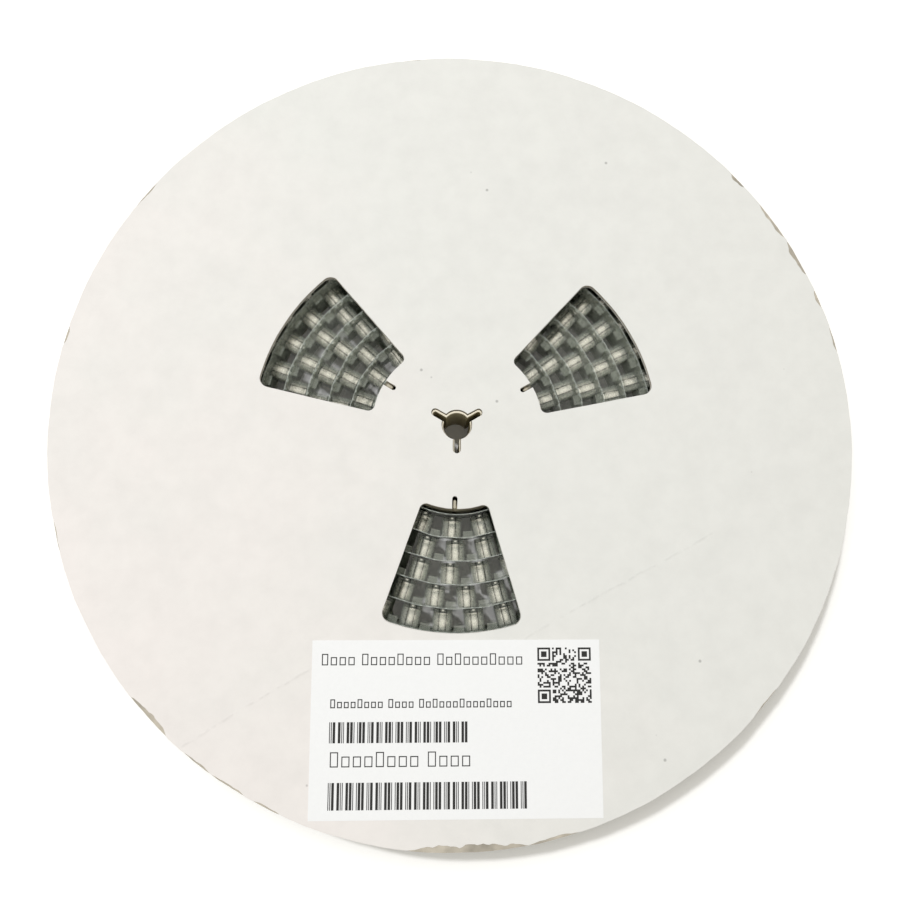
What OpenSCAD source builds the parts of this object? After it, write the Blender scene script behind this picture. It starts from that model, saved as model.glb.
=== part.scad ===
// Component reel: two round board flanges on a moulded core, with embossed
// carrier tape wound between them. Every pocket of the tape holds one
// surface-mount capacitor under a sealed cover tape.
// The reel lies flat: +Z is its axis and Z = 0 is the face that it rests on.

/* [Flanges] */
// Outside diameter of both flanges
reel_d = 380; // [350:5:420]
// Thickness of each flange board
flange_t = 2.5; // [1.5:0.5:4]
// How much wider the space between the flanges is than the tape
tape_clear = 2; // [1:0.5:6]

/* [Bore] */
// Diameter of the spindle bore
bore_d = 13; // [12.5:0.1:16]
// Distance from the axis to the round end of a keyway
keyway_reach = 13; // [11:0.5:15]
// Width of a keyway
keyway_w = 2.4; // [2:0.1:3]

/* [Windows] */
// Number of windows, and of keyways, in a flange
window_count = 3; // [2:1:4]
// Radius of a window's inner edge
window_inner_r = 40; // [36:1:48]
// Radius of a window's outer edge
window_outer_r = 95.5; // [80:0.5:120]
// Angle between a window's two sides
window_angle = 36; // [24:2:44]
// Distance by which each side stands off its radial line
window_offset = 2.6; // [0:0.2:5]
// Corner radius at the inner edge
corner_inner = 3; // [1:0.5:5]
// Corner radius at the outer edge
corner_outer = 4.5; // [1:0.5:8]
// Width of the notch in the middle of the inner edge
notch_w = 2.4; // [1.5:0.1:4]
// Length of that notch
notch_len = 6; // [3:0.5:8]

/* [Core] */
// Outside diameter of the core that the tape is wound on
core_d = 80; // [72:1:90]
// Wall of the core's outer ring
core_wall = 2.4; // [1.6:0.2:4]
// Outside diameter of the sleeve round the bore
sleeve_d = 34; // [32:1:44]
// Number of ribs between sleeve and ring
rib_count = 6; // [3:1:12]
// Thickness of a rib
rib_t = 1.8; // [1.2:0.2:4]

/* [Capacitors] */
// Diameter of the aluminium can
can_d = 8; // [6:0.1:8.2]
// Height of a capacitor over base and can
part_h = 9.8; // [8:0.1:12]
// Side of the square plastic base
base_w = 8.3; // [8.3:0.1:9]
// Height of the base
base_h = 1.6; // [1:0.1:2.5]
// Chamfer on two of the base's corners
base_chamfer = 1.5; // [0.5:0.1:2.5]

/* [Tape] */
// Width of the carrier tape
tape_w = 24; // [20:0.5:32]
// Thickness of the carrier film
tape_t = 0.35; // [0.3:0.05:0.5]
// Distance from one pocket to the next along the tape
pocket_pitch = 16; // [14:0.5:24]
// Distance from the tape's sprocket edge to the pockets' centre line
pocket_line = 13.25; // [12:0.25:14]
// How much narrower the cover tape is than the carrier tape
cover_inset = 2.7; // [2.4:0.1:6]
// Thickness of the cover tape
cover_t = 0.1; // [0.06:0.02:0.2]
// Room between a capacitor's base and the pocket's wall
side_clear = 0.2; // [0.1:0.05:0.4]
// Room between the capacitor's top and the cover tape
top_clear = 0.15; // [0.1:0.05:0.4]
// How much wider a pocket is at its mouth than at its bottom, each side
draft = 0.25; // [0:0.05:0.5]

/* [Winding] */
// Room between one turn's pockets and the turn below
wrap_clear = 0.5; // [0.5:0.1:1.5]
// Room between the first turn's pockets and the core
core_clear = 0.85; // [0.8:0.05:1.5]
// Room between the winding's lower edge and the rear flange
edge_clear = 0.3; // [0.2:0.1:0.5]
// Free rim of the flanges outside the full winding
rim_margin = 16; // [12:1:40]
// Part of the climb from turn to turn that is spread round the whole turn
drift = 0.2; // [0.1:0.05:1]
// Angle over which a turn climbs onto the one below
climb_angle = 90; // [60:5:120]

/* [Label and end strip] */
// Width of the label
label_w = 130; // [60:1:140]
// Height of the label
label_h = 77; // [40:1:80]
// Thickness of the label and of the end strip
paper_t = 0.15; // [0.1:0.05:0.3]
// Distance of the label's lower corners from the rim
label_edge = 2.5; // [1:0.5:20]
// Width of the strip that holds the tape's end down
strip_w = 18; // [10:1:20]
// Length of that strip on each side of the tape's end
strip_len = 34; // [20:1:60]

/* [Hidden] */

$fn = 96;
window_step = 360 / window_count;
window_start = 30;           // direction of the first window and keyway
inner_w = tape_w + tape_clear;
front_z = flange_t + inner_w;
reel_h = front_z + flange_t;
core_r = core_d / 2;

// Pocket, measured from the film's outer face towards the axis
pocket_in_h = part_h + top_clear;
pocket_out_h = pocket_in_h + tape_t;
pocket_in_w = base_w + 2 * side_clear;
flat_w = pocket_in_w + 2 * (tape_t + draft) + 0.4;

// Winding: the film's outer face lies at turn_r(a) for the running angle a
wrap = pocket_out_h + cover_t + wrap_clear;
first_r = core_r + pocket_out_h + core_clear;
wound_r = reel_d / 2 - rim_margin;
formed_r = window_outer_r + 3;  // pockets are formed out to this radius
climb_end = 15;                 // direction in which every climb ends
leader_start = climb_end + 45 - 360;
first_pocket = climb_end + 5;
tape_end = climb_end + 360 * (wound_r - first_r) / wrap;
leader_step = 6;
plain_step = 12;

tape_z = flange_t + edge_clear;
pocket_z = tape_z + tape_w - pocket_line;
cover_w = tape_w - cover_inset;
cover_z = tape_z + cover_inset * 0.2;
strip_z = tape_z + (tape_w - strip_w) / 2;

function degrees_of(length, radius) = length / radius * 180 / PI;
function smooth(s) = s * s * (3 - 2 * s);
function at(r, a) = [r * cos(a), r * sin(a)];

// Radius of the film's outer face: a slow drift round each turn, and a climb
// over the step that the start of the tape makes on the core
function turn_r(a) =
    let (turns = (a - climb_end) / 360,
         part = turns - floor(turns),
         s = max(0, (part * 360 - 360 + climb_angle) / climb_angle))
    first_r + wrap * (floor(turns) + drift * part + (1 - drift) * smooth(s));

// Directions of the formed pockets, one pitch apart along the film
pockets = [for (a = first_pocket; turn_r(a) < formed_r;
                a = a + degrees_of(pocket_pitch, turn_r(a))) a];
function half_flat(a) = asin(flat_w / 2 / turn_r(a));

// The film is flat across each pocket and bends between pockets
last_pocket = pockets[len(pockets) - 1];
stations = concat(
    [for (a = leader_start; a < first_pocket - half_flat(first_pocket) - 1; a = a + leader_step) a],
    [for (a = pockets, side = [-1, 1]) a + side * half_flat(a)],
    [for (a = last_pocket + plain_step; a < tape_end; a = a + plain_step) a],
    [tape_end]);

// Band that follows the film, from one depth above its outer face to another
module band(stops, low, high) {
    count = len(stops);
    polygon(concat(
        [for (a = stops) at(turn_r(a) + high, a)],
        [for (i = [count - 1:-1:0]) at(turn_r(stops[i]) + low, stops[i])]));
}

// Puts its children at a pocket, with X out of the film and Z still the axis
module at_pocket(a) {
    from = at(turn_r(a - half_flat(a)), a - half_flat(a));
    to = at(turn_r(a + half_flat(a)), a + half_flat(a));
    middle = (from + to) / 2;
    run = to - from;
    translate([middle[0], middle[1], pocket_z])
        rotate([0, 0, atan2(run[1], run[0]) - 90]) children();
}

// Tapered block from x = top down to x = bottom, centred on the pocket line
module pocket_block(top, bottom, mouth_w, floor_w, depth) {
    translate([0, 0, -depth / 2])
        linear_extrude(depth)
            polygon([[top, -mouth_w / 2], [top, mouth_w / 2],
                     [bottom, floor_w / 2], [bottom, -floor_w / 2]]);
}

// Slot along X with a round end at to_r
module slot(from_r, to_r, width) {
    translate([from_r, -width / 2]) square([to_r - width / 2 - from_r, width]);
    translate([to_r - width / 2, 0]) circle(d = width);
}

// Spindle bore with its keyways
module bore_shape() {
    circle(d = bore_d);
    for (i = [0:window_count - 1])
        rotate(window_start + i * window_step) slot(bore_d / 4, keyway_reach, keyway_w);
}

// Keystone between two arcs, its straight sides moved in by the given amount
module keystone(inner_r, outer_r, side_in) {
    half = window_angle / 2;
    apex = (side_in - window_offset) / sin(half);
    reach = 2 * outer_r;
    intersection() {
        difference() {
            circle(r = outer_r);
            circle(r = inner_r);
        }
        translate([apex, 0])
            polygon([[0, 0], reach * [cos(half), -sin(half)], reach * [cos(half), sin(half)]]);
    }
}

// Round corner of the keystone: its centre is one corner radius from both
// the arc and the straight side
module window_corner(arc_r, radius) {
    half = window_angle / 2;
    turn = half + asin((window_offset - radius) / arc_r);
    for (side = [-1, 1])
        rotate([0, 0, side * turn]) translate([arc_r, 0]) circle(r = radius);
}

module window_shape() {
    middle_r = (window_inner_r + window_outer_r) / 2;
    keystone(window_inner_r, middle_r + 1, corner_inner);
    keystone(middle_r - 1, window_outer_r, corner_outer);
    keystone(window_inner_r + corner_inner, window_outer_r - corner_outer, 0);
    window_corner(window_inner_r + corner_inner, corner_inner);
    window_corner(window_outer_r - corner_outer, corner_outer);
}

// Notch that runs from a window's inner edge towards the axis
module notch_shape() {
    mirror([1, 0]) slot(-window_inner_r - 1, notch_len - window_inner_r, notch_w);
}

module flange() {
    linear_extrude(flange_t) difference() {
        circle(d = reel_d, $fn = 240);
        bore_shape();
        for (i = [0:window_count - 1])
            rotate(window_start + i * window_step) {
                window_shape();
                notch_shape();
            }
    }
}

module rear_flange() {
    color("#E6E4DF") flange();
}

module front_flange() {
    color("#EFEEEB") translate([0, 0, front_z]) flange();
}

module core() {
    rib_from = sleeve_d / 2 - 1;
    rib_to = core_r - core_wall / 2;
    color("#C9BFA8") translate([0, 0, flange_t]) linear_extrude(inner_w) {
        difference() {
            circle(d = core_d);
            circle(d = core_d - 2 * core_wall);
        }
        difference() {
            circle(d = sleeve_d);
            bore_shape();
        }
        for (i = [0:rib_count - 1])
            rotate(i * 360 / rib_count)
                translate([rib_from, -rib_t / 2]) square([rib_to - rib_from, rib_t]);
    }
}

module carrier_tape() {
    floor_w = pocket_in_w + 2 * tape_t;
    color("#B9C0BB") difference() {
        union() {
            translate([0, 0, tape_z]) linear_extrude(tape_w) band(stations, -tape_t, 0);
            for (a = pockets)
                at_pocket(a)
                    pocket_block(-tape_t / 2, -pocket_out_h, floor_w + 2 * draft, floor_w, floor_w);
        }
        for (a = pockets)
            at_pocket(a)
                pocket_block(0.1, -pocket_in_h, pocket_in_w + 2 * draft, pocket_in_w, pocket_in_w);
    }
}

module cover_tape() {
    color("#DDE3E0") translate([0, 0, cover_z])
        linear_extrude(cover_w) band(stations, 0, cover_t);
}

module capacitor_bases() {
    corner = base_w / 2;
    cut = corner - base_chamfer;
    color("#1B1C1E")
        for (a = pockets)
            at_pocket(a) translate([-pocket_in_h + 0.05, 0, 0]) rotate([0, 90, 0])
                linear_extrude(base_h - 0.05)
                    polygon([[-corner, -corner], [cut, -corner], [corner, -cut],
                             [corner, cut], [cut, corner], [-corner, corner]]);
}

module capacitor_cans() {
    can_h = part_h - base_h;
    bevel = 0.4;
    color("#C7C9CB")
        for (a = pockets)
            at_pocket(a) translate([-pocket_in_h + base_h, 0, 0]) rotate([0, 90, 0])
                rotate_extrude($fn = 32)
                    polygon([[0, 0], [can_d / 2, 0], [can_d / 2, can_h - bevel],
                             [can_d / 2 - bevel, can_h], [0, can_h]]);
}

// Strip over the tape's free end: it lies on the last turn and comes down
// onto the turn below
module end_strip() {
    span = degrees_of(strip_len, wound_r);
    drop = degrees_of(wrap, wound_r);
    on_top = [for (i = [0:4]) tape_end - span * (1 - i / 4)];
    below = [for (i = [0:4]) tape_end + drop + span * i / 4];
    lift = cover_t;
    upper = concat([for (a = on_top) at(turn_r(a) + lift + paper_t, a)],
                   [for (a = below) at(turn_r(a) - wrap + lift + paper_t, a)]);
    lower = concat([for (a = on_top) at(turn_r(a) + lift, a)],
                   [for (a = below) at(turn_r(a) - wrap + lift, a)]);
    color("#E3D7B4") translate([0, 0, strip_z])
        linear_extrude(strip_w)
            polygon(concat(upper, [for (i = [len(lower) - 1:-1:0]) lower[i]]));
}

module label() {
    corner_r = reel_d / 2 - label_edge;
    low_y = -sqrt(corner_r * corner_r - label_w * label_w / 4);
    color("#FCFCFB") translate([-label_w / 2, low_y, reel_h])
        cube([label_w, label_h, paper_t]);
}

rear_flange();
front_flange();
core();
carrier_tape();
cover_tape();
capacitor_bases();
capacitor_cans();
end_strip();
label();
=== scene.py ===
"""Dresses the component tape reel: two paper-faced board flanges, a moulded
core, embossed carrier tape under a sealed cover tape, one surface-mount
aluminium capacitor in each pocket, a paper end strip and a printed label."""

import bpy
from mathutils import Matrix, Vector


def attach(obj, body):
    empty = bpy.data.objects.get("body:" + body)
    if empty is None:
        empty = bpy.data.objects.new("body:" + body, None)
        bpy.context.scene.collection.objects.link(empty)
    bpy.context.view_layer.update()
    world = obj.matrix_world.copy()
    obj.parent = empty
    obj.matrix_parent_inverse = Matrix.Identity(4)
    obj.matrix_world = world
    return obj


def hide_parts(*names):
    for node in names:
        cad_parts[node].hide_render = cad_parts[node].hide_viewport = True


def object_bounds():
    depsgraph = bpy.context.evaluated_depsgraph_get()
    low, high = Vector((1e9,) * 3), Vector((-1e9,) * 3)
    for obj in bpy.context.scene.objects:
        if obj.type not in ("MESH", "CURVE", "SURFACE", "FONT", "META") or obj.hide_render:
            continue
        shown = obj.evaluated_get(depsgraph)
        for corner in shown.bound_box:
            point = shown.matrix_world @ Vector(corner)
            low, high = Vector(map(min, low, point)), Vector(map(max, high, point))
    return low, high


bl_info = {
    "name": "Component Tape Reel",
    "version": (1, 0, 0),
    "blender": (4, 5, 0),
    "location": "View3D > Sidebar > Tape Reel",
    "description": "Builds a board reel of capacitors in embossed carrier tape",
    "category": "Add Mesh",
}

import math

import bmesh
import bpy
import numpy as np
from bpy.props import FloatProperty, FloatVectorProperty, IntProperty, PointerProperty
from mathutils import Euler, Vector, geometry

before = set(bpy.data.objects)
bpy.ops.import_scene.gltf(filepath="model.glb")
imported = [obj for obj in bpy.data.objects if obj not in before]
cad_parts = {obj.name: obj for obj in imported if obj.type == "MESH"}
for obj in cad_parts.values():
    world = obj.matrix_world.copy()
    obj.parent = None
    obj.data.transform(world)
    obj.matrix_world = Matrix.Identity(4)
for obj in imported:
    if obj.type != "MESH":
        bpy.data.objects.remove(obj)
CAD_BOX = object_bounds()
MM = 0.001
FRONT_FACE = CAD_BOX[1].z / MM  # the label is the highest piece


def linear(hex_colour):
    """sRGB hex to linear RGBA: each channel c is c / 12.92 below 0.04045 and
    ((c + 0.055) / 1.055) to the power 2.4 above it."""
    raw = hex_colour.lstrip("#")
    values = [int(raw[i : i + 2], 16) / 255 for i in (0, 2, 4)]
    return [c / 12.92 if c <= 0.04045 else ((c + 0.055) / 1.055) ** 2.4 for c in values] + [1.0]


def length(name, millimetres, text):
    return FloatProperty(name=name, description=text, default=millimetres * MM, min=0,
                         precision=5, unit="LENGTH", subtype="DISTANCE")


def colour(name, hex_colour, text):
    return FloatVectorProperty(name=name, description=text, default=linear(hex_colour)[:3],
                               size=3, min=0, max=1, subtype="COLOR")


class BoardSettings(bpy.types.PropertyGroup):
    diameter: length("Diameter", 380, "Outside diameter of both flanges")
    thickness: length("Thickness", 2.5, "Thickness of a flange board")
    inner_width: length("Inner width", 26, "Clear width between the flanges")
    bore: length("Bore", 13, "Diameter of the spindle bore")
    keyway_reach: length("Keyway reach", 13, "Distance from the axis to a keyway's end")
    keyway_width: length("Keyway width", 2.4, "Width of a keyway")
    window_inner: length("Window inner edge", 40, "Radius of a window's inner edge")
    window_outer: length("Window outer edge", 95.5, "Radius of a window's outer edge")
    window_offset: length("Window side offset", 2.6, "Distance of a side from its radial line")
    corner_inner: length("Inner corner", 3, "Corner radius at the inner edge")
    corner_outer: length("Outer corner", 4.5, "Corner radius at the outer edge")
    notch_width: length("Notch width", 2.4, "Width of the notch in the inner edge")
    notch_length: length("Notch length", 6, "Length of that notch")
    window_angle: FloatProperty(name="Window angle", default=math.radians(36), subtype="ANGLE",
                                description="Angle between a window's two sides")
    # the warm paper lies towards the lower left of the facing and is paler than the cool one
    warm: colour("Warm paper", "#F3EEED", "Paper facing on the side that has yellowed")
    cool: colour("Cool paper", "#E9EAE8", "Paper facing elsewhere")
    board: colour("Board", "#C6BFB2", "Grey board between the facings")


class TapeSettings(bpy.types.PropertyGroup):
    width: length("Width", 24, "Width of the carrier tape")
    thickness: length("Film thickness", 0.35, "Thickness of the carrier film")
    pitch: length("Pocket pitch", 16, "Distance between pockets along the tape")
    pocket_line: length("Pocket line", 13.25, "Distance from the sprocket edge to the pockets")
    cover_width: length("Cover width", 21.3, "Width of the cover tape")
    cover_thickness: length("Cover thickness", 0.1, "Thickness of the cover tape")
    hole: length("Sprocket hole", 1.5, "Diameter of a sprocket hole")
    film: colour("Film", "#DCE4D6", "Colour of the clear film")
    cover: colour("Cover film", "#D5DCD9", "Colour of the cover tape")


class CapacitorSettings(bpy.types.PropertyGroup):
    can_diameter: length("Can diameter", 8, "Diameter of the aluminium can")
    height: length("Height", 9.8, "Height over base and can")
    base_width: length("Base width", 8.3, "Side of the square base")
    base_height: length("Base height", 1.6, "Height of the base")
    chamfer: length("Base chamfer", 1.5, "Chamfer on two of the base's corners")
    sides: IntProperty(name="Sides", default=24, min=12, max=48,
                       description="Number of faces round a can")
    metal: colour("Can", "#FBF8EF", "Colour of the aluminium")
    plastic: colour("Base", "#1A1B1C", "Colour of the moulded base")


class LabelSettings(bpy.types.PropertyGroup):
    paper: colour("Paper", "#F8FAFD", "Colour of the label paper")
    ink: colour("Ink", "#17181A", "Colour of the print")
    strip: colour("End strip", "#E0D3AE", "Colour of the strip on the tape's end")


# ---------------------------------------------------------------- materials


def add(tree, kind, inputs=None, out=0, **settings):
    """Adds a node with its properties, numbers and links, and returns the
    output asked for."""
    node = tree.nodes.new("ShaderNode" + kind)
    for name, value in settings.items():
        setattr(node, name, value)
    for key, value in (inputs or {}).items():
        if isinstance(value, bpy.types.NodeSocket):
            tree.links.new(value, node.inputs[key])
        else:
            node.inputs[key].default_value = value
    return node.outputs[out] if node.outputs else None


def new_material(name, **sockets):
    """A material, its tree, its Principled shader with the given sockets, whose
    underscores stand for spaces, and the object's coordinates."""
    material = bpy.data.materials.new(name)
    material.use_nodes = True
    tree = material.node_tree
    shader = tree.nodes["Principled BSDF"]
    for key, value in sockets.items():
        shader.inputs[key.replace("_", " ")].default_value = value
    return material, tree, shader, add(tree, "TexCoord", out="Object")


def surface(tree, shader, base, factors, height=None, strength=0.0, distance=0.0):
    """Links a shader's colour, which is the base times each factor in turn, and
    its bump where there is a height."""
    for factor in factors:
        base = add(tree, "Mix", {0: 1.0, 6: base, 7: factor}, 2, data_type="RGBA", blend_type="MULTIPLY")
    tree.links.new(base, shader.inputs["Base Color"])
    if height is not None:
        bump = add(tree, "Bump", {"Height": height, "Strength": strength, "Distance": distance})
        tree.links.new(bump, shader.inputs["Normal"])


def grained(tree, place, scale, detail, low, high):
    """An even noise, and the tone from low to high that follows it."""
    noise = add(tree, "TexNoise", {"Vector": place, "Scale": scale, "Detail": detail})
    return noise, add(tree, "MapRange", {0: noise, 1: 0.3, 2: 0.7, 3: low, 4: high})


def rgba(tint):
    return (*tint[:3], 1.0)


def crease_mark(tree, place, normal, offset, reach):
    """A crease's mark, 1 on its line and 0 from 0.9 mm off it: the distance is
    the dot product with the normal less the offset, bent by noise of up to 2 mm
    either way. It lies between two values of X and is broken by grit."""
    wander = add(tree, "TexNoise", {"Vector": place, "Scale": 30, "Detail": 4})
    away = add(tree, "VectorMath", {0: place, 1: (*normal, 0)}, "Value", operation="DOT_PRODUCT")
    away = add(tree, "Math", {0: wander, 1: 0.004, 2: away}, operation="MULTIPLY_ADD")
    away = add(tree, "Math", {0: away, 1: offset + 0.002}, operation="SUBTRACT")
    away = add(tree, "Math", {0: away}, operation="ABSOLUTE")
    mark = add(tree, "MapRange", {0: away, 2: 0.0009, 3: 1.0, 4: 0.0})
    middle, half = (reach[0] + reach[1]) / 2, (reach[1] - reach[0]) / 2
    x = add(tree, "SeparateXYZ", {0: place}, "X")
    inside = add(tree, "Math", {0: x, 1: middle, 2: half}, operation="COMPARE")
    grit = add(tree, "TexNoise", {"Vector": place, "Scale": 260, "Detail": 2})
    grit = add(tree, "MapRange", {0: grit, 1: 0.4, 2: 0.6})
    mark = add(tree, "Math", {0: mark, 1: inside}, operation="MULTIPLY")
    return add(tree, "Math", {0: mark, 1: grit}, operation="MULTIPLY")


# dirt specks on the front facing, in mm from the axis, and the facing's height
SPECKS = ((74.6, 134.4), (14.8, 118.9), (111.2, -108.6), (93.4, -151.7), (-17, 27), (19, 12))
SPECK_HEIGHT = 0.031


def paper_facing(board):
    """Bleached liner paper on grey board, calendered: matt and slightly blotchy, paler and warmer towards the
    lower left, with fine fibres and two handling creases."""
    mat, tree, shader, place = new_material("liner_paper_calendered", Roughness=0.82, IOR=1.5)
    # the facing goes from the warm, paler paper at the lower left to the cool paper at the upper right
    drift = add(tree, "VectorMath", {0: place, 1: (0.87, 0.5, 0)}, "Value", operation="DOT_PRODUCT")
    drift = add(tree, "MapRange", {0: drift, 1: -0.19, 2: 0.1})
    cloud = add(tree, "TexNoise", {"Vector": place, "Scale": 14, "Detail": 3})
    share = add(tree, "Math", {0: drift, 1: cloud}, operation="ADD")
    share = add(tree, "MapRange", {0: share, 1: 0.35, 2: 1.25})
    base = add(tree, "Mix", {0: share, 6: rgba(board.warm), 7: rgba(board.cool)}, 2, data_type="RGBA")
    # blotches about 12 mm across, 3.5 per cent darker at most
    blotch = add(tree, "TexNoise", {"Vector": place, "Scale": 85, "Detail": 5, "Roughness": 0.65})
    # dust specks about a millimetre across, a few to each hand's breadth
    dust = add(tree, "TexVoronoi", {"Vector": place, "Scale": 42}, "Distance")
    factors = [add(tree, "MapRange", {0: blotch, 1: 0.35, 2: 0.7, 3: 1.015, 4: 0.965}),
               add(tree, "MapRange", {0: dust, 1: 0.012, 2: 0.03, 3: 0.72, 4: 1.0})]
    for x, y in SPECKS:
        away = add(tree, "VectorMath", {0: place, 1: (x * MM, y * MM, SPECK_HEIGHT)}, "Value",
                   operation="DISTANCE")
        factors.append(add(tree, "MapRange", {0: away, 1: 0.0004, 2: 0.0009, 3: 0.62, 4: 1.0}))
    # fibres 0.5 mm wide over a swell of 26 mm
    fibre = add(tree, "TexNoise", {"Vector": place, "Scale": 1900, "Detail": 2})
    swell = add(tree, "TexNoise", {"Vector": place, "Scale": 38, "Detail": 4})
    ridge = add(tree, "Math", {0: crease_mark(tree, place, (-0.509, 0.861), -0.0620, (-0.16, -0.055)),
                               1: crease_mark(tree, place, (-0.474, 0.881), -0.1010, (-0.01, 0.12))},
                operation="MAXIMUM")
    height = add(tree, "Math", {0: fibre, 1: 0.06, 2: swell}, operation="MULTIPLY_ADD")
    height = add(tree, "Math", {0: ridge, 1: 0.35, 2: height}, operation="MULTIPLY_ADD")
    # painted shade along the creases: up to 7 per cent darker on their lines
    factors.append(add(tree, "MapRange", {0: ridge, 3: 1.0, 4: 0.93}))
    surface(tree, shader, base, factors, height, 0.5, 0.0006)
    return mat


def grey_board(board):
    """Recycled grey board, die cut: a dull fibrous edge in thin layers."""
    mat, tree, shader, place = new_material("grey_board_die_cut", Roughness=0.95, IOR=1.45)
    # layers 0.3 mm thick, stretched along the board
    layers = add(tree, "Mapping", {0: place, "Scale": (0.25, 0.25, 6)})
    streak, tone = grained(tree, layers, 500, 4, 0.62, 1.12)
    surface(tree, shader, rgba(board.board), [tone], streak, 0.7, 0.0003)
    return mat


def film_material(name, tint, alpha, roughness, seals=()):
    """Clear plastic film: glossy, slightly milky, with faint draw marks. The
    cover tape adds matt seal tracks a millimetre wide, at the given heights."""
    mat, tree, shader, place = new_material(name, IOR=1.58, Alpha=alpha, Roughness=roughness)
    haze, tone = grained(tree, place, 260, 3, 0.86, 1.06)
    rough = add(tree, "MapRange", {0: haze, 1: 0.3, 2: 0.7, 3: roughness * 0.7, 4: roughness * 1.5})
    for seal in seals:
        height = add(tree, "SeparateXYZ", {0: place}, "Z")
        near = add(tree, "Math", {0: height, 1: seal, 2: 0.0005}, operation="COMPARE")
        rough = add(tree, "Math", {0: near, 1: 0.45, 2: rough}, operation="MULTIPLY_ADD")
    tree.links.new(rough, shader.inputs["Roughness"])
    surface(tree, shader, rgba(tint), [tone], haze, 0.12, 0.0003)
    return mat


def aluminium_can(part):
    """Drawn aluminium, lacquered: a soft bright metal with a fine even grain."""
    mat, tree, shader, place = new_material("aluminium_lacquered", Metallic=0.7, Roughness=0.3)
    grain, tone = grained(tree, place, 700, 3, 0.92, 1.04)
    rough = add(tree, "MapRange", {0: grain, 1: 0.3, 2: 0.7, 3: 0.22, 4: 0.34})
    tree.links.new(rough, shader.inputs["Roughness"])
    surface(tree, shader, rgba(part.metal), [tone])
    return mat


def core_plastic():
    """Recycled polystyrene, moulded: olive with a dull sheen. A painted highlight turns it cream where it
    stands above the board's inner face, on the collar and the tabs, and painted shade darkens it from 20 mm
    off the axis and more over the barrel."""
    mat, tree, shader, place = new_material("polystyrene_moulded", Roughness=0.45, IOR=1.59)
    height = add(tree, "SeparateXYZ", {0: place}, "Z")
    # painted highlight: cream from 28.5 mm up, in full above 29 mm, on the collar and tab tops that stand up
    # into the front board
    worn = add(tree, "MapRange", {0: height, 1: 0.0285, 2: 0.0290})
    base = add(tree, "Mix", {0: worn, 6: linear("#A79F82"), 7: linear("#F6EFDD")}, 2, data_type="RGBA")
    flat = add(tree, "VectorMath", {0: place, 1: (1, 1, 0)}, operation="MULTIPLY")
    reach = add(tree, "VectorMath", {0: flat}, "Value", operation="LENGTH")
    # painted shade: the colour falls to 0.74 between 20 and 30 mm off the axis, over the tabs, and to 0.4 of
    # that from 38.5 to 39.3 mm out, over the barrel
    tabs = add(tree, "MapRange", {0: reach, 1: 0.02, 2: 0.03, 3: 1.0, 4: 0.74})
    barrel = add(tree, "MapRange", {0: reach, 1: 0.0385, 2: 0.0393, 3: 1.0, 4: 0.4})
    painted_shade = add(tree, "Math", {0: tabs, 1: barrel}, operation="MULTIPLY")
    grain, tone = grained(tree, place, 1200, 3, 0.94, 1.03)
    surface(tree, shader, base, [painted_shade, tone], grain, 0.3, 0.0001)
    return mat


def speckled(name, tint, roughness, grain, contrast, **sockets):
    """A moulded or coated surface: one colour with a fine even grain of the
    given size in millimetres, in colour and in bump."""
    mat, tree, shader, place = new_material(name, Roughness=roughness, **sockets)
    noise, tone = grained(tree, place, 1000 / grain, 4, 1 - contrast, 1 + contrast / 2)
    surface(tree, shader, rgba(tint), [tone], noise, 0.3, grain * 1e-4)
    return mat


# ------------------------------------------------------------------ meshes


def ring_faces(rings, size):
    """Quads that join rings of points, each closed and of the same size."""
    return [(r * size + i, r * size + (i + 1) % size, (r + 1) * size + (i + 1) % size, (r + 1) * size + i)
            for r in range(rings - 1) for i in range(size)]


def capped_faces(rings, size):
    """The same, with a face over the first ring and one over the last."""
    count = rings * size
    return ring_faces(rings, size) + [tuple(range(size))[::-1], tuple(range(count - size, count))]


class Shell:
    """Collects blocks of points, in millimetres, and faces into one mesh."""

    def __init__(self):
        self.points, self.faces, self.slots, self.count = [], [], [], 0

    def block(self, points, faces, slot=0):
        """Adds points (n, 3) and groups of faces that number them from 0."""
        points = np.asarray(points, dtype=float).reshape(-1, 3)
        for group in faces:
            group = np.asarray(group, dtype=np.int64) + self.count
            self.faces += group.tolist()
            self.slots += [slot] * len(group)
        self.points.append(points)
        self.count += len(points)

    def rings(self, points, slot=0):
        """Adds a surface through closed rings of points (rings, size, 3)."""
        self.block(points, [ring_faces(*points.shape[:2])], slot)

    def tiled(self, points, faces, slot=0):
        """Adds the same faces on each of many copies of points (copies, n, 3)."""
        copies, size = points.shape[:2]
        start = (np.arange(copies) * size)[:, None, None]
        grouped = {}
        for face in faces:
            grouped.setdefault(len(face), []).append(face)
        groups = [(np.array(g)[None] + start).reshape(-1, n) for n, g in grouped.items()]
        self.block(points, groups, slot)

    def piece(self, name, slot, materials, merge=True, crease=35):
        """Makes the mesh: joins equal points, turns the shell outwards, marks
        edges over the crease angle as sharp, and rides on the reel."""
        mesh = bpy.data.meshes.new(name)
        mesh.from_pydata((np.concatenate(self.points) * MM).tolist(), [], self.faces)
        mesh.polygons.foreach_set("material_index", np.asarray(self.slots, dtype=np.int32))
        for material in materials:
            mesh.materials.append(material)
        if merge:
            work = bmesh.new()
            work.from_mesh(mesh)
            bmesh.ops.remove_doubles(work, verts=work.verts, dist=1e-6)
            bmesh.ops.dissolve_degenerate(work, edges=work.edges, dist=1e-7)
            bmesh.ops.recalc_face_normals(work, faces=work.faces)
            work.to_mesh(mesh)
            work.free()
        mesh.polygons.foreach_set("use_smooth", np.ones(len(mesh.polygons), dtype=bool))
        mesh.set_sharp_from_angle(angle=math.radians(crease))
        mesh.update()
        piece = bpy.data.objects.new(name, mesh)
        bpy.context.scene.collection.objects.link(piece)
        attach(piece, "root")
        return piece


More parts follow.
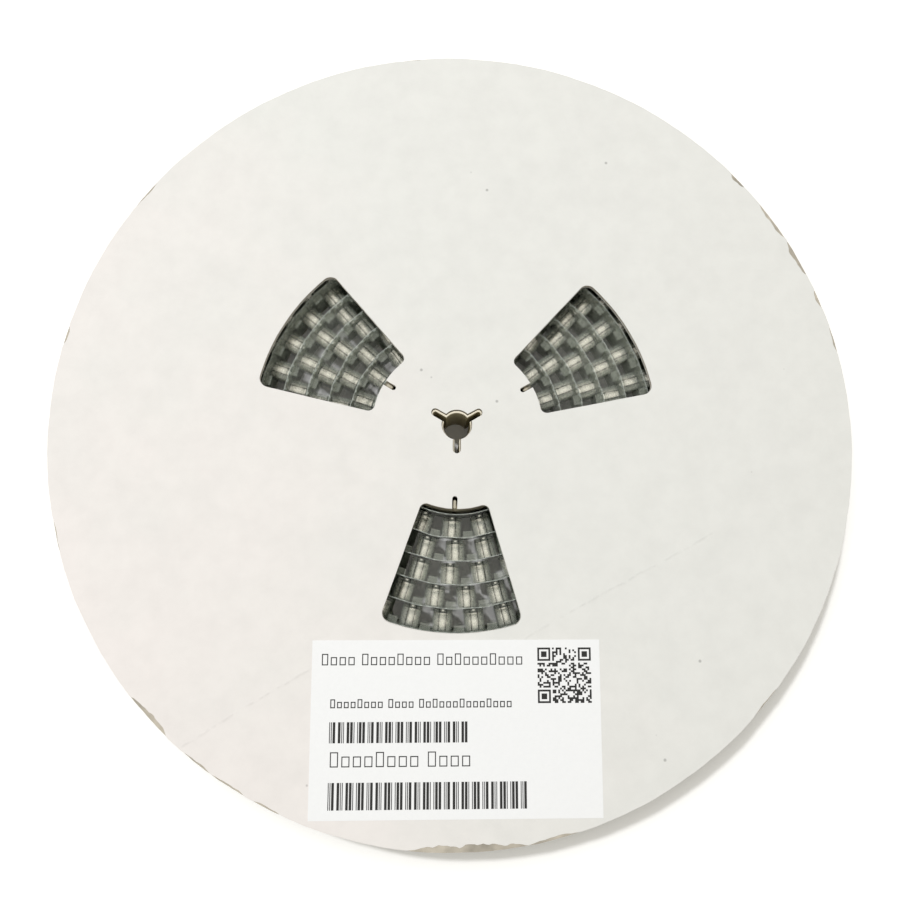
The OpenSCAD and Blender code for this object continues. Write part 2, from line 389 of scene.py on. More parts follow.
def polar(radius, angle):
    """Points in the plane at those radii and angles in degrees."""
    a = np.radians(angle)
    return np.stack([radius * np.cos(a), radius * np.sin(a)], -1)


def arc(centre, radius, start, stop, count):
    """Points on a circle's arc between two angles in degrees."""
    return np.asarray(centre) + polar(radius, np.linspace(start, stop, count))


def turned(points, angle):
    """Points turned about the axis by an angle in degrees."""
    c, s = math.cos(math.radians(angle)), math.sin(math.radians(angle))
    return points @ np.array([[c, s], [-s, c]])


def clean_loop(points, step):
    """Closed loop without repeated points, its long edges cut into steps."""
    points = points[np.linalg.norm(points - np.roll(points, 1, 0), axis=1) > 1e-4]
    following = np.roll(points, -1, 0)
    pieces = np.maximum(1, np.ceil(np.linalg.norm(following - points, axis=1) / step)).astype(int)
    start = np.repeat(np.arange(len(points)), pieces)
    share = np.concatenate([np.arange(n) / n for n in pieces])[:, None]
    return points[start] * (1 - share) + following[start] * share

def raised(points, height):
    """Points in the plane (..., 2) with a height, or one for each, added."""
    height = np.broadcast_to(np.asarray(height, dtype=float), points.shape[:-1])
    return np.concatenate([points, height[..., None]], -1)


def unit(vectors):
    return vectors / np.linalg.norm(vectors, axis=-1, keepdims=True)


def outward(tangent):
    """Tangents turned a quarter clockwise, which points out of what they go
    round anticlockwise."""
    return np.stack([tangent[..., 1], -tangent[..., 0]], -1)


def loop_normals(points):
    """Outward unit normals of an anticlockwise loop: the tangent at a point
    joins its two neighbours."""
    return outward(unit(np.roll(points, -1, 0) - np.roll(points, 1, 0)))


def angle_from(angle, direction):
    """How far angles are from a direction, from 0 to 180 degrees."""
    return np.abs((angle - direction + 180) % 360 - 180)


def ripple(count, waves, seed):
    """Noise round a loop, about -1 to 1: a sum of cosines of whole numbers of
    waves with seeded phases, each weaker as the waves get shorter."""
    random = np.random.default_rng(seed)
    turn = np.linspace(0, 2 * math.pi, count, endpoint=False)
    total = np.zeros(count)
    for wave in waves:
        total += np.cos(turn * wave + random.uniform(0, 6.28)) * (waves[0] / wave) ** 0.5
    return total / np.sqrt(len(waves))


# ---------------------------------------------------------------- boards

WINDOWS = (30, 150, 270)
# the front board is hand glued and its windows are worn: how far each is turned
# in degrees, and its inner edge, outer edge and sides stand off the plan in mm
FRONT_CUTS = ((-0.63, 0.9, 0.4, -0.5), (-1.2, 0.1, 0.6, 0.2), (-1.5, -0.7, 0.5, 0.75))
TRUE_CUTS = ((0, 0, 0, 0),) * 3
# its bore is cut larger all round and stands off the axis along Y, in mm
FRONT_BORE = (0.7, 0.6)
TRUE_BORE = (0, 0)
# torn places in the facing: direction in degrees, half length and depth in mm
FRONT_TEARS = ((271.5, 27, 3.0), (283, 12, 1.2), (41.8, 5, 1.6), (33.8, 11, 1.7), (27, 10, 2.1),
               (20, 5, 1.3), (13.5, 7, 0.9), (224, 12, 2.0), (233, 8, 0.8), (238, 9, 0.9),
               (244, 7, 0.8), (143, 9, 0.8), (167, 5, 0.9), (196, 9, 0.5), (318, 9, 0.5),
               (97, 7, 0.4))
REAR_TEARS = ((20, 10, 1.5), (88, 7, 1.2), (140, 14, 1.8), (205, 9, 1.1), (251, 12, 1.6),
              (312, 8, 1.4))
LINER = 0.32  # thickness of the paper facings, in mm
RIM_POINTS = 900
RIM_WEAR = 0.16  # how far the rim stands back on average, in mm
SHEET_STEP = 7.0  # between the points inside a board's face, in mm


def bore_outline(board, grow, shift):
    """Spindle bore with its keyways, grown by an amount all round and shifted
    along Y: a circle's arcs between three slots with round ends, anticlockwise."""
    radius, half = board.bore / MM / 2 + grow, board.keyway_width / MM / 2 + grow
    reach = board.keyway_reach / MM + grow - half
    mouth = math.degrees(math.asin(half / radius))
    parts = []
    for direction in WINDOWS:
        parts.append(arc((0, 0), radius, direction - 120 + mouth, direction - mouth, 14))
        parts.append(turned(arc((reach, 0), half, -90, 90, 9), direction))
    return np.concatenate(parts) + np.array([0, shift])


def window_outline(board, direction, cut):
    """Keystone window: two arcs about the axis, two straight sides that stand
    off their radial lines, round corners that touch both, and a round-ended
    notch in the inner arc, anticlockwise."""
    turn, near_by, far_by, side_by = cut
    half = math.degrees(board.window_angle) / 2
    inner, outer = board.window_inner / MM + near_by, board.window_outer / MM + far_by
    small, large = board.corner_inner / MM, board.corner_outer / MM
    offset, slot = board.window_offset / MM + side_by, board.notch_width / MM / 2
    far = half + math.degrees(math.asin((offset - large) / (outer - large)))
    near = half + math.degrees(math.asin((offset - small) / (inner + small)))
    mouth = math.degrees(math.asin(slot / inner))
    end = inner - board.notch_length / MM + slot
    upper = np.concatenate([
        arc((0, 0), outer, 0, far, 20),
        arc(polar(outer - large, far), large, far, half + 90, 8),
        arc(polar(inner + small, near), small, half + 90, near + 180, 7),
        arc((0, 0), inner, near, mouth, 8),
        arc((end, 0), slot, 90, 180, 5),
    ])
    lower = upper[::-1] * np.array([1, -1])
    return turned(np.concatenate([upper, lower]), direction + turn)


def bow(points):
    """How far the front board has bowed towards the tape, in mm: a shallow
    saddle that grows with the square of the radius and is flat at the label."""
    x, y = points[..., 0], points[..., 1]
    radius = np.hypot(x, y) / 190  # as a share of the flange's
    saddle = 0.28 * radius**2 * (1 - np.cos(2 * np.arctan2(y, x) - 2.4))
    clear = np.clip((y + 95) / 60, 0, 1)
    return -saddle * clear * clear * (3 - 2 * clear)


def torn_back(angle, tears, radius):
    """How far the facing is torn back at each angle, in mm: for each tear a
    flat-topped bump, 1 - |distance / half length| cubed."""
    back = np.zeros(len(angle))
    for number, (direction, half, depth) in enumerate(tears):
        away = angle_from(angle, direction) * math.pi / 180 * radius
        share = np.clip(1 - (away / half) ** 3, 0, 1)
        rough = 1 + 0.3 * ripple(len(angle), (61, 113, 187, 292), 40 + number)
        back = np.maximum(back, depth * share * np.clip(rough, 0.2, 2))
    return back


def build_board(name, slot, materials, board, bottom, tears, front, seed):
    """Paper-faced board: its outlines are carried through the thickness as
    rings, and each face is a Delaunay sheet over the end rings. The facing is
    torn back from the outer face along the rim."""
    radius, thick = board.diameter / MM / 2, board.thickness / MM
    angle = np.arange(RIM_POINTS) * 360 / RIM_POINTS
    worn = RIM_WEAR * ripple(RIM_POINTS, (23, 47, 90, 171, 330), seed)
    rim = polar(radius - RIM_WEAR + worn, angle)
    cuts, bore = (FRONT_CUTS, FRONT_BORE) if front else (TRUE_CUTS, TRUE_BORE)
    outlines = [rim, clean_loop(bore_outline(board, *bore), 2)]
    outlines += [clean_loop(window_outline(board, d, cut), 2.5) for d, cut in zip(WINDOWS, cuts)]
    # height through the board, and how far each ring stands back from the cut
    height = np.array([0, 0.1, LINER, LINER + 0.02, thick / 2, thick - LINER - 0.02,
                       thick - LINER, thick - 0.1, thick])
    back = np.array([0.1, 0.0, 0.0, 0.07, 0.12, 0.07, 0.0, 0.0, 0.1])
    # rings that a tear moves; the shelf it leaves is board, as the middle is
    torn, shelf = (slice(6, 9), 5) if front else (slice(0, 3), 2)
    shell = Shell()
    ends = ([], [])
    tear = torn_back(angle, tears, radius)
    for number, loop in enumerate(outlines):
        rough = 0.05 * ripple(len(loop), (9, 17, 31, 53), seed + 10 + number)
        stand = back[:, None] + rough
        if number == 0:
            stand[torn] += tear
        side = -1 if number else 1
        rings = raised(loop[None] - side * stand[..., None] * loop_normals(loop)[None], height[:, None])
        for low in range(len(height) - 1):
            shell.rings(rings[low : low + 2], 1 if low in (3, 4, shelf) else 0)
        ends[0].append(rings[0, :, :2])
        ends[1].append(rings[-1, :, :2])
    # points inside the faces, clear of the rim, bore and windows
    steps = np.arange(-186, 187, SHEET_STEP)
    spread = np.stack(np.meshgrid(steps, steps), -1).reshape(-1, 2)
    reach = np.hypot(*spread.T)
    keep = (reach < radius - 6) & (reach > 20)
    for direction in WINDOWS:
        away = angle_from(np.degrees(np.arctan2(spread[:, 1], spread[:, 0])), direction)
        keep &= ~((reach > 29) & (reach < 101) & (away < 26))
    for loops, level in zip(ends, (0, thick)):
        start = np.cumsum([0] + [len(p) for p in loops])
        edges = [edge for first, p in zip(start, loops) for edge in loop_edges(int(first), len(p))]
        flat, tris = filled(np.concatenate(loops + [spread[keep]]), edges, loops[1:])
        inner = (level == 0) == front
        shell.block(raised(flat, level), [tris], 2 if inner else 0)
    points = np.concatenate(shell.points)
    if front:
        points[:, 2] += bow(points)
    points[:, 2] += bottom
    shell.points = [points]
    return shell.piece(name, slot, materials, crease=40)


# ----------------------------------------------------------------- winding

# angles run on from turn to turn, in degrees; lengths and heights are in mm
CLIMB_END = 15.0  # where each turn ends its climb onto the one below
CLIMB = 90.0
LEADER_START = CLIMB_END + 45 - 360
FIRST_POCKET = CLIMB_END + 5
FORMED_END = CLIMB_END + 360 * 5 + 165  # past the windows' outer edges
FIRST_RADIUS = 51.15
WOUND_RADIUS = 174.0
WRAP = 10.9  # from one turn to the next
DRIFT = 0.2  # share of it that is spread round the whole turn
TAPE_END = CLIMB_END + 360 * (WOUND_RADIUS - FIRST_RADIUS) / WRAP
FLAT = 10.3  # length of film across a pocket that stays flat
TAPE_BOTTOM = 2.8
COVER_BOTTOM = 3.34
POCKET_Z = 13.55
POCKET_DEPTH = 9.95
SPROCKET_PITCH = 4.0
SPROCKET_ROW = 1.75  # below the film's upper edge
GROOVES = (4, 5, 7, 8)  # points of a pocket's ring where a groove's sides start


def film_radius(angle):
    """Radius of the film's outer face: a slow drift round each turn and a
    smooth climb over the step that the tape's start makes on the core."""
    turns = (np.asarray(angle, dtype=float) - CLIMB_END) / 360
    part = turns - np.floor(turns)
    climb = np.clip((part * 360 - 360 + CLIMB) / CLIMB, 0, 1)
    return FIRST_RADIUS + WRAP * (np.floor(turns) + DRIFT * part
                                  + (1 - DRIFT) * climb * climb * (3 - 2 * climb))
def degrees_of(length, angle):
    """The angle that a length of film takes up there."""
    return math.degrees(length / float(film_radius(angle)))


def pocket_angles(pitch):
    """Directions of all pockets, each one pitch along the film from the last."""
    angles = [FIRST_POCKET]
    while angles[-1] < TAPE_END:
        angles.append(angles[-1] + degrees_of(pitch, angles[-1]))
    return np.array(angles[:-1])


def law_stations(angles):
    """Points and normals on the film's outer face, by central difference."""
    ahead, behind = (polar(film_radius(a), a) for a in (angles + 0.05, angles - 0.05))
    return polar(film_radius(angles), angles), outward(unit(ahead - behind))


class PocketRun:
    """A run of pockets: each has a middle, a tangent and a normal, and the
    film is flat across it and bends between it and the next."""

    def __init__(self, angles, pitch):
        self.count = len(angles)
        angles = np.append(angles, angles[-1] + degrees_of(pitch, angles[-1]))
        half = np.degrees(np.arcsin(FLAT / 2 / film_radius(angles)))
        start = polar(film_radius(angles - half), angles - half)
        end = polar(film_radius(angles + half), angles + half)
        self.middle = (start + end) / 2
        self.tangent = unit(end - start)
        self.normal = outward(self.tangent)
        self.gap = pitch - FLAT
        # where the film bends, along one pitch
        half = FLAT / 2
        self.lines = np.array([-half, half, half + 0.325 * self.gap, half + 0.675 * self.gap, pitch - half])

    def place(self, along, height, depth):
        """Maps the unrolled film to space. Within the flat a point moves along
        the tangent; beyond it, along a Hermite curve to the next flat, with
        the normals blended. Depth is taken off along the normal."""
        n = self.count
        along = np.asarray(along, dtype=float)[None, :, None]
        middle, tangent, normal = (v[:n, None, :] for v in (self.middle, self.tangent, self.normal))
        next_tangent, next_normal = self.tangent[1:, None, :], self.normal[1:, None, :]
        leave = middle + tangent * FLAT / 2
        arrive = self.middle[1:, None, :] - next_tangent * FLAT / 2
        reach = np.linalg.norm(arrive - leave, axis=-1, keepdims=True)
        w = np.clip((along - FLAT / 2) / self.gap, 0, 1)
        bend = ((2 * w**3 - 3 * w**2 + 1) * leave + (w**3 - 2 * w**2 + w) * reach * tangent
                + (3 * w**2 - 2 * w**3) * arrive + (w**3 - w**2) * reach * next_tangent)
        point = np.where(along <= FLAT / 2 + 1e-6, middle + tangent * along, bend)
        blend = unit(normal * (1 - w) + next_normal * w)
        return raised(point - blend * np.asarray(depth, dtype=float).reshape(1, -1, 1), height)

    def local(self, points):
        """Maps points (x out of the film, y along it, z along the axis from
        the pocket's middle) to each pocket in turn."""
        n = self.count
        plane = (self.middle[:n, None] + self.normal[:n, None] * points[None, :, :1]
                 + self.tangent[:n, None] * points[None, :, 1:2])
        return raised(plane, points[:, 2] + POCKET_Z)

    def rail(self):
        """Points and normals of the outer face along the run, ending at the
        start of the next flat."""
        face, deep = (self.place(self.lines[:-1], 0, d)[..., :2].reshape(-1, 2) for d in (0, 1))
        last = self.middle[-1] - self.tangent[-1] * FLAT / 2
        return np.vstack([face, last]), np.vstack([face - deep, self.normal[-1]])


def filled(points, edges, holes):
    """Constrained Delaunay triangles over the points, less those whose middle
    lies in a hole: a line from there crosses the hole's outline an odd number
    of times."""
    flat, _, tris, *_ = geometry.delaunay_2d_cdt([Vector(p) for p in points], edges, [], 1, 1e-6)
    flat, tris = np.array([tuple(p) for p in flat]), np.array(tris)
    x, y = flat[tris].mean(1).T[:, :, None]
    inside = np.zeros(len(tris), dtype=bool)
    for hole in holes:
        (x0, y0), (x1, y1) = hole.T[:, None], np.roll(hole, -1, 0).T[:, None]
        with np.errstate(divide="ignore", invalid="ignore"):
            crossing = x0 + (y - y0) * (x1 - x0) / (y1 - y0)
        inside |= np.sum(((y0 > y) != (y1 > y)) & (x < crossing), axis=1) % 2 == 1
    tris = tris[~inside]
    used = np.unique(tris)
    renumber = np.zeros(len(flat), dtype=int)
    renumber[used] = np.arange(len(used))
    return flat[used], renumber[tris]

def loop_edges(first, count):
    """Edges of a closed loop of points, numbered from the first."""
    return [(first + i, first + (i + 1) % count) for i in range(count)]


def pocket_ring(half, radius):
    """Anticlockwise square with round corners and two grooves 0.3 mm deep in
    its front side, in (along, across)."""
    near = half - radius
    corners = [arc((near if k in (0, 3) else -near, near if k < 2 else -near), radius,
                   90 * k, 90 * k + 90, 4) for k in range(4)]
    grooves = [(x, half - dip) for x, dip in
               ((1.95, 0), (1.7, 0.3), (1.45, 0), (-1.45, 0), (-1.7, 0.3), (-1.95, 0))]
    return np.concatenate([corners[0], grooves, *corners[1:]])


def sprocket_hole(tape, along, high):
    """Ten-sided outline of a hole in (along, height), below the film's edge."""
    return arc((along, high - SPROCKET_ROW), tape.hole / MM / 2, 0, 324, 10)


def cut_sheet(lines, low, high, rings):
    """Flat sheet from the first line to the last and from low to high, with
    the rings cut out."""
    points, edges = [], []
    for k, x in enumerate(lines):
        points += [(x, low), (x, high)]
        edges.append((2 * k, 2 * k + 1))
        if k:
            edges += [(2 * k - 2, 2 * k), (2 * k - 1, 2 * k + 1)]
    for ring in rings:
        edges += loop_edges(len(points), len(ring))
        points += [tuple(p) for p in ring]
    return filled(points, edges, rings)


def both_faces(place, path, thick):
    """A path in (along, height) laid on the film's outer and inner faces."""
    return np.concatenate([place(*path.T, depth) for depth in (0, thick)], axis=1)


def formed_film(shell, run, tape):
    """Film with a pocket drawn into each pitch: two faces cut for the pocket
    and the sprocket holes, the pocket's two skins as rounded rings going down,
    grooved in front, a bed up to the next pocket, and the two long cut edges."""
    thick, pitch = tape.thickness / MM, tape.pitch / MM
    low, high = TAPE_BOTTOM, TAPE_BOTTOM + tape.width / MM
    circles = [sprocket_hole(tape, x, high) for x in (-2, 2, 6, 10)]
    # depth below the outer face, half width and corner radius of each ring
    skins = (
        ((0, 4.74, 1.15), (0.1, 4.63, 1.05), (0.3, 4.58, 1.0), (9.6, 4.36, 0.8), (9.86, 4.28, 0.8),
         (9.95, 4.08, 0.75)),
        ((thick, 5.06, 1.4), (0.5, 4.97, 1.35), (0.75, 4.92, 1.3), (10.0, 4.7, 1.1), (10.22, 4.6, 1.1),
         (10.3, 4.38, 1.0)),
    )
    for rings, turn in zip(skins, (1, -1)):
        depth, size, corner = rings[0]
        mouth = pocket_ring(size, corner) + [0, POCKET_Z]
        flat, tris = cut_sheet(run.lines, low, high, circles + [mouth])
        shell.tiled(run.place(*flat.T, depth), tris[:, ::turn].tolist())
        side = len(mouth)
        skin = np.concatenate([np.column_stack([np.full(side, -d), pocket_ring(s, c)]) for d, s, c in rings])
        quads = ring_faces(len(rings), side)
        walls = [q for q in quads if q[0] % side not in GROOVES]
        walls.append(tuple(range(len(skin) - side, len(skin))))
        grooves = [q for q in quads if q[0] % side in GROOVES]
        for faces, slot in ((walls, 2), (grooves, 3)):
            shell.tiled(run.local(skin), [f[::turn] for f in faces], slot)
    # the film between two pockets is drawn 3 mm deep, with a wall in front
    bed = np.linspace(5.45, pitch - 5.45, 5)
    for low_z, high_z, near, far in ((high - 3.35, high - 3.1, 0.3, 3.3),
                                     (POCKET_Z - 4.7, high - 3.3, 3.05, 3.3)):
        section = ((low_z, near), (high_z, near), (high_z, far), (low_z, far))
        box = np.concatenate([run.place(bed, z, d) for z, d in section], axis=1)
        quads = [(k * 5 + i, k * 5 + i + 1, (k + 1) % 4 * 5 + i + 1, (k + 1) % 4 * 5 + i)
                 for k in range(4) for i in range(4)]
        shell.tiled(box, quads + [(0, 5, 10, 15), (19, 14, 9, 4)], 2)
    for circle in circles:
        shell.tiled(both_faces(run.place, circle, thick), ring_faces(2, len(circle)), 1)
    k = len(run.lines)
    quads = [(i, i + 1, k + i + 1, k + i) for i in range(k - 1)]
    for level, turn in ((low, 1), (high, -1)):
        path = raised(run.lines[:, None], level)
        shell.tiled(both_faces(run.place, path, thick), [q[::turn] for q in quads], 1)


def band(shell, point, normal, outside, inside, low, high, caps=(True, True), edge_slot=0):
    """Closed band along a rail: its section is a rectangle from the inside to
    the outside offset along the normal and from low to high."""
    corners = ((outside, low), (outside, high), (inside, high), (inside, low))
    ring = np.stack([np.column_stack([point + normal * off, np.full(len(point), z)])
                     for off, z in corners], axis=1)
    count = len(point)
    ids = np.arange(count * 4).reshape(count, 4)
    for side in range(4):
        a, b = ids[:, side], ids[:, (side + 1) % 4]
        quads = np.stack([a[:-1], a[1:], b[1:], b[:-1]], -1)
        shell.block(ring.reshape(-1, 3), [quads], edge_slot if side % 2 else 0)
    for end, wanted in zip((0, -1), caps):
        if wanted:
            shell.block(ring[end], [[[0, 1, 2, 3]]], edge_slot)

def punched_band(shell, point, normal, tape, shift):
    """Plain film with one sprocket hole to each 4 mm: each span between two
    stations is a cut sheet laid along the chord."""
    thick = tape.thickness / MM
    low, high = TAPE_BOTTOM, TAPE_BOTTOM + tape.width / MM
    circle = sprocket_hole(tape, SPROCKET_PITCH - shift, high)
    flat, tris = cut_sheet((0.0, SPROCKET_PITCH), low, high, [circle])

    def lay(along, height, depth):
        share = (along / SPROCKET_PITCH)[None, :, None]
        p, n = (v[:-1, None] * (1 - share) + v[1:, None] * share for v in (point, normal))
        return raised(p - unit(n) * depth, height)

    shell.tiled(lay(*flat.T, 0), tris.tolist())
    shell.tiled(lay(*flat.T, thick), tris[:, ::-1].tolist())
    shell.tiled(both_faces(lay, circle, thick), ring_faces(2, len(circle)), 1)
    for z in (low, high):
        path = np.array([[0, z], [SPROCKET_PITCH, z]])
        shell.tiled(both_faces(lay, path, thick), [(0, 1, 3, 2)], 1)


class Winding:
    """The tape in order: a punched leader, the formed turns that the windows
    show, the plain turns hidden by the flanges, and the last formed turn."""

    def __init__(self, pitch):
        angles = pocket_angles(pitch)
        inner = angles[angles < FORMED_END]
        outer = angles[(angles > TAPE_END - 366) & (angles < TAPE_END - 2.5)]
        self.inner, self.outer = PocketRun(inner, pitch), PocketRun(outer, pitch)
        steps = [FIRST_POCKET - math.degrees(math.asin(FLAT / 2 / float(film_radius(FIRST_POCKET))))]
        while steps[-1] > LEADER_START + 2:
            steps.append(steps[-1] - degrees_of(SPROCKET_PITCH, steps[-1]))
        # the plain turns stop clear of the pockets before and after them
        self.leader = law_stations(np.array(steps[:0:-1]))
        self.hidden = law_stations(np.arange(inner[-1] + 14, outer[0] - 6, 4.0))
        self.tail = law_stations(np.linspace(outer[-1] + 5.6, TAPE_END, 4))

    def rails(self):
        """Every station of the outer face in order, as points and normals."""
        parts = (self.leader, self.inner.rail(), self.hidden, self.outer.rail(), self.tail)
        return [np.vstack(part) for part in zip(*parts)]

    def fill(self, shell, points, *parts):
        """Adds a shape to every pocket: its points, and its faces with their
        material number in parts."""
        for run in (self.inner, self.outer):
            placed = run.local(points)
            for faces, slot in parts:
                shell.tiled(placed, faces, slot)


# ------------------------------------------------------------- operators


class TAPEREEL_OT_boards(bpy.types.Operator):
    """Both paper-faced flanges with their die-cut windows and worn rims"""

    bl_idname = "tape_reel.boards"
    bl_label = "Board Flanges"

    def execute(self, context):
        board = context.scene.tape_reel_board
        # the inner faces are plain recycled liner, grey-green and rough, painted darker than the liner alone
        # to stand for the shade between the boards
        liner = speckled("liner_paper_recycled_shaded", linear("#868E80"), 0.9, 0.5, 0.1)
        mats = [paper_facing(board), grey_board(board), liner]
        front = board.thickness / MM + board.inner_width / MM
        piece = build_board("front_board", "front_flange", mats, board, front, FRONT_TEARS, True, 3)
        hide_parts("front_flange")
        piece = build_board("rear_board", "rear_flange", mats, board, 0.0, REAR_TEARS, False, 5)
        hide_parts("rear_flange")
        return {"FINISHED"}


def repaint(node, material):
    """Gives a carried-over solid its finish."""
    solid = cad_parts[node]
    solid.data.materials.clear()
    solid.data.materials.append(material)


class TAPEREEL_OT_core(bpy.types.Operator):
    """Moulded core between the flanges, with its collar and locking tabs"""

    bl_idname = "tape_reel.core"
    bl_label = "Core"

    def execute(self, context):
        mat = core_plastic()
        repaint("core", mat)
        build_core_tabs(context.scene.tape_reel_board, mat)
        return {"FINISHED"}


def build_core_tabs(board, material):
    """What stands up from the core through the front board: a collar round the
    bore, and a tab in each notch, a round-ended outline carried up as rings."""
    inner, slot = board.window_inner / MM, board.notch_width / MM / 2
    end = inner - board.notch_length / MM + slot
    floor = board.thickness / MM + board.inner_width / MM
    half = slot - 0.35
    outline = np.concatenate([arc((end + 1.2, 0), half, 90, 270, 11),
                              arc((inner - 0.9, 0), half, -90, 90, 11)])
    normal, count = loop_normals(outline), len(outline)
    # height over the board's inner face, and how far a tab stands back there
    levels = ((-3.0, 0.0), (-0.3, 0.0), (0.05, 0.06), (0.3, 0.22), (0.4, 0.45))
    # how far the collar stands off the bore, its shift along Y, and its height
    section = ((0.02, 0.02, -1.0), (0.02, 0.02, 1.3), (0.1, 0.1, 1.4), (0.36, 0.38, 1.4), (0.44, 0.46, 1.3),
               (0.44, 0.46, -1.0))
    shell = Shell()
    collar = np.stack([raised(bore_outline(board, grow, shift), floor + z)
                       for grow, shift, z in section[::-1]])
    shell.rings(np.concatenate([collar, collar[:1]]))
    for direction, (turn, near_by, *_) in zip(WINDOWS, FRONT_CUTS):
        rings = np.stack([raised(turned(outline - normal * back + [near_by, 0], direction + turn), floor + z)
                          for z, back in levels])
        shell.rings(rings)
        shell.block(rings[0], [[list(range(count))[::-1]]])
        shell.block(rings[-1], [[list(range(count))]])
    return shell.piece("core_tabs", "core", [material])


class TAPEREEL_OT_carrier(bpy.types.Operator):
    """Embossed carrier film with its pockets and sprocket holes"""

    bl_idname = "tape_reel.carrier"
    bl_label = "Carrier Film"

    def execute(self, context):
        tape = context.scene.tape_reel_tape
        winding = Winding(tape.pitch / MM)
        film = film_material("polystyrene_film_calendered", tape.film, 0.26, 0.14)
        edge = film_material("polystyrene_film_cut_edge", linear("#CDD5CF"), 0.5, 0.35)
        # the film is drawn thin where the pockets are formed, and is clearer there
        drawn = film_material("polystyrene_film_drawn", tape.film, 0.12, 0.1)
        # painted shade: the faces where the film folds into a groove are a dark film, which draws each groove
        # as a dark line
        groove = film_material("polystyrene_film_groove_shaded", linear("#4A4F49"), 0.4, 0.3)
        shell = Shell()
        thick = tape.thickness / MM
        low, high = TAPE_BOTTOM, TAPE_BOTTOM + tape.width / MM
        formed_film(shell, winding.inner, tape)
        formed_film(shell, winding.outer, tape)
        first, last = winding.inner.rail(), winding.outer.rail()
        point, normal = (np.vstack([a, b[:1]]) for a, b in zip(winding.leader, first))
        punched_band(shell, point, normal, tape, 0.85)
        ring = [np.append(point[0] - normal[0] * d, z) for d, z in
                ((0, low), (0, high), (thick, high), (thick, low))]
        shell.block(ring, [[[0, 1, 2, 3]]], 1)
        hidden = [np.vstack([a[-1:], b, c[:1]]) for a, b, c in zip(first, winding.hidden, last)]
        band(shell, *hidden, 0, -thick, low, high, caps=(False, False), edge_slot=1)
        tail = [np.vstack([a[-1:], b]) for a, b in zip(last, winding.tail)]
        band(shell, *tail, 0, -thick, low, high, caps=(False, True), edge_slot=1)
        piece = shell.piece("carrier_film", "carrier_tape", [film, edge, drawn, groove])
        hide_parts("carrier_tape")
        return {"FINISHED"}


class TAPEREEL_OT_cover(bpy.types.Operator):
    """Clear cover tape sealed over the pockets"""

    bl_idname = "tape_reel.cover"
    bl_label = "Cover Tape"

    def execute(self, context):
        tape = context.scene.tape_reel_tape
        low = COVER_BOTTOM
        high = low + tape.cover_width / MM
        seals = ((low + 0.9) * MM, (high - 0.9) * MM)
        mat = film_material("polyester_cover_film", tape.cover, 0.08, 0.1, seals)
        shell = Shell()
        band(shell, *Winding(tape.pitch / MM).rails(), 0.012 + tape.cover_thickness / MM, 0.012, low, high)
        piece = shell.piece("cover_film", "cover_tape", [mat])
        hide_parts("cover_tape")
        return {"FINISHED"}


